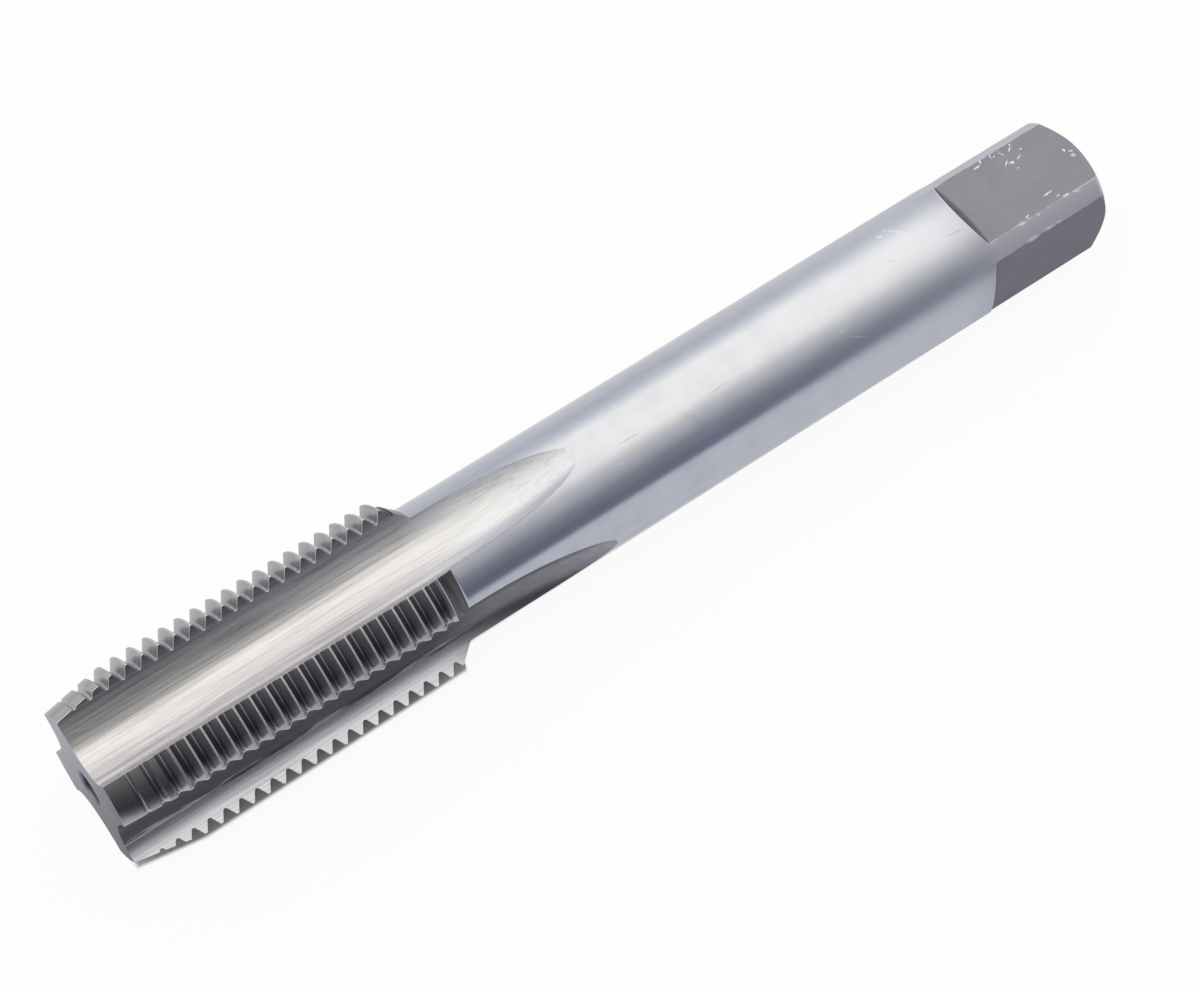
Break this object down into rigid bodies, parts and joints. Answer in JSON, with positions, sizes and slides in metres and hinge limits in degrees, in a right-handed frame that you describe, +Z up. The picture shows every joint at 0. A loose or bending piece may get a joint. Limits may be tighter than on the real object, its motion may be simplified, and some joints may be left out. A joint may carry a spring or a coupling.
{
  "type": "thread tap",
  "caption": "Straight-fluted hand tap that cuts an internal thread: fluted threaded lands with a tapered lead, plain round shank and a square drive end.",
  "frame": {"origin": "on the floor, under the middle of the tap's length, between its two sides", "axes": "+X along the tap from the tip to the drive square, level; +Z up, with one flute and one drive flat facing up; the tap lies at rest on two land edges and its shank, so its own axis drops 0.66 degrees towards the square"},
  "size_m": [0.1022, 0.0138, 0.0141],
  "materials": {
    "ground_steel": "ground high-speed steel, satin on the shank, duller in the flutes and on the drive flats"
  },
  "bodies": {
    "root": {"thread_tap": "ground_steel"}
  },
  "joints": []
}
